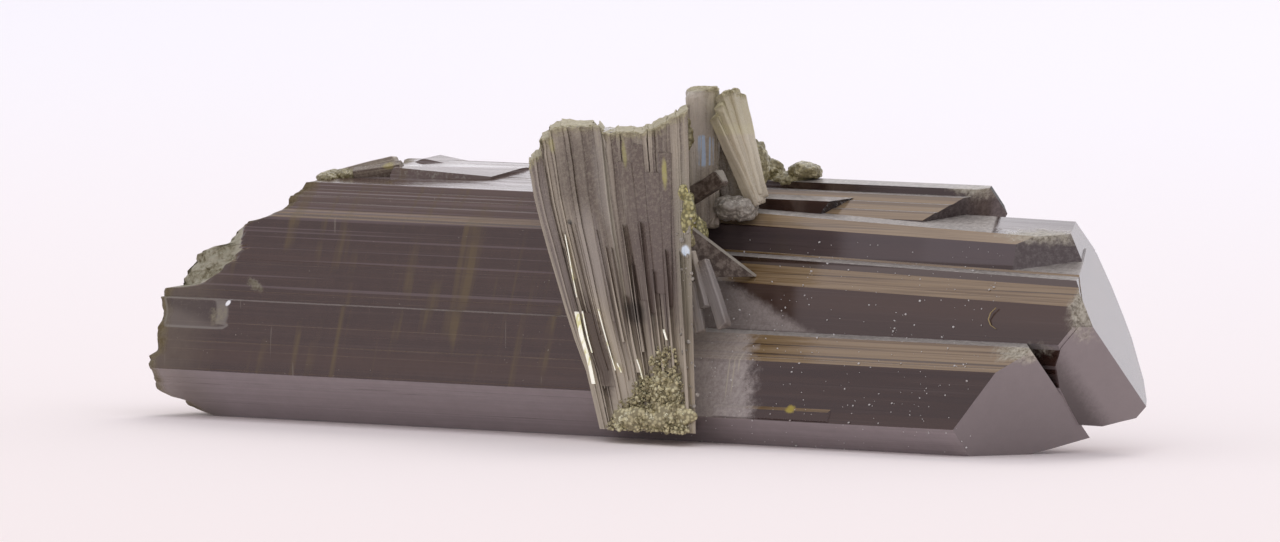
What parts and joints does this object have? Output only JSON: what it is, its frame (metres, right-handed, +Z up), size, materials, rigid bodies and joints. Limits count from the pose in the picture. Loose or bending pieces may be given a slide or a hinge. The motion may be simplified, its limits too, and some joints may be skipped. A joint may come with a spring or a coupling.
{
  "type": "mineral crystal specimen",
  "caption": "Dark striated epidote prism lying on its flat side, stepped and wedge-ended on the right, crossed in the middle by an upright fan of blades.",
  "frame": {"origin": "on the flat side that the crystal rests on, below the middle of its length", "axes": "+X along the crystal towards its wedge-shaped end, -Y towards the side with the crossing blades, +Z up"},
  "size_m": [0.0611, 0.0173, 0.0195],
  "materials": {
    "epidote": "glossy, nearly opaque olive-brown crystal, striated along its length, with yellow-green translucent edges and crust"
  },
  "bodies": {
    "root": {"epidote_crystal": "epidote"}
  },
  "joints": []
}
